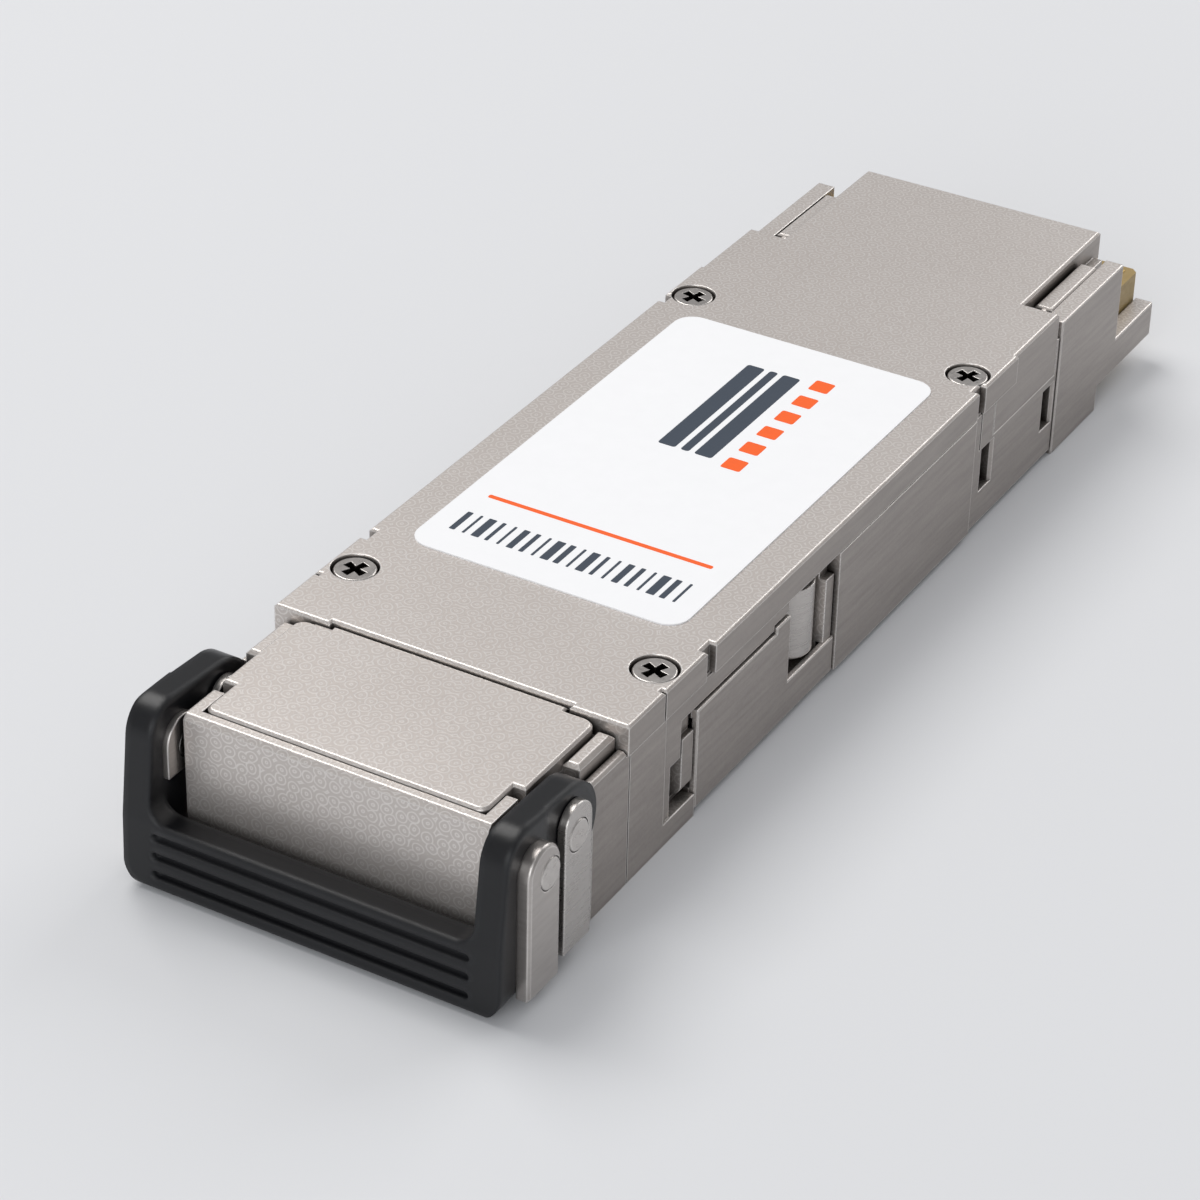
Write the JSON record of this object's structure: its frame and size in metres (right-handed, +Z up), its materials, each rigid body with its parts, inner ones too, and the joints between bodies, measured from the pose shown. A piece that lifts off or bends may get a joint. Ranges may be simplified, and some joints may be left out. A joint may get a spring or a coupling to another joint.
{
  "type": "qsfp loopback module",
  "caption": "Pluggable loopback module for a network port: die-cast housing, edge-contact card, black bail handle and a spring-loaded release slider.",
  "frame": {"origin": "on the flat underside, on the centre line, level with the top cover's front edge", "axes": "+Y towards the card end, +X towards the side seen in the picture, +Z up through the cover"},
  "size_m": [0.0206, 0.069, 0.0089],
  "materials": {
    "nickel_zinc": "satin nickel plating on die-cast zinc",
    "plated_steel": "satin nickel-plated stamped steel",
    "screw_steel": "satin",
    "spring_steel": "drawn wire",
    "bail_plastic": "satin black",
    "label_film": "satin white film",
    "board": "glass-fibre board, tan edge",
    "gold_plate": "hard gold plating",
    "chip_epoxy": "matt moulding compound",
    "ceramic_tan": "matt",
    "gap_pad": "soft matt"
  },
  "bodies": {
    "housing": {"base_housing": "nickel_zinc", "top_cover": "nickel_zinc", "nose_cover": "nickel_zinc", "side_cover_left": "plated_steel", "side_cover_right": "plated_steel", "cover_screw_1": "screw_steel", "cover_screw_2": "screw_steel", "cover_screw_3": "screw_steel", "cover_screw_4": "screw_steel", "label": "label_film", "paddle_card": "board", "return_spring_left": "spring_steel", "return_spring_right": "spring_steel", "contact_pads_top": "gold_plate", "contact_pads_bottom": "gold_plate", "memory_chip": "chip_epoxy", "control_chip": "chip_epoxy", "coupling_capacitors": "ceramic_tan", "load_resistors": "chip_epoxy", "thermal_pad": "gap_pad"},
    "slider": {"latch_slider": "plated_steel", "pivot_pin_left": "screw_steel", "pivot_pin_right": "screw_steel"},
    "bail": {"bail_handle": "bail_plastic", "bail_side_plate_left": "plated_steel", "bail_side_plate_right": "plated_steel", "bail_backing_plate_left": "plated_steel", "bail_backing_plate_right": "plated_steel", "bail_rivet_left": "screw_steel", "bail_rivet_right": "screw_steel"}
  },
  "joints": [
    {"name": "latch_slide", "type": "slide", "parent": "housing", "child": "slider", "axis": [0, -1, 0], "range_m": [0, 0.0012], "stiffness_N_per_m": 800, "springref_m": -0.001, "deforming": ["return_spring_left", "return_spring_right"]},
    {"name": "bail_swing", "type": "hinge", "parent": "slider", "child": "bail", "pos_m": [0, -0.00572, 0.0065], "axis": [-1, 0, 0], "range_deg": [0, 90]}
  ]
}
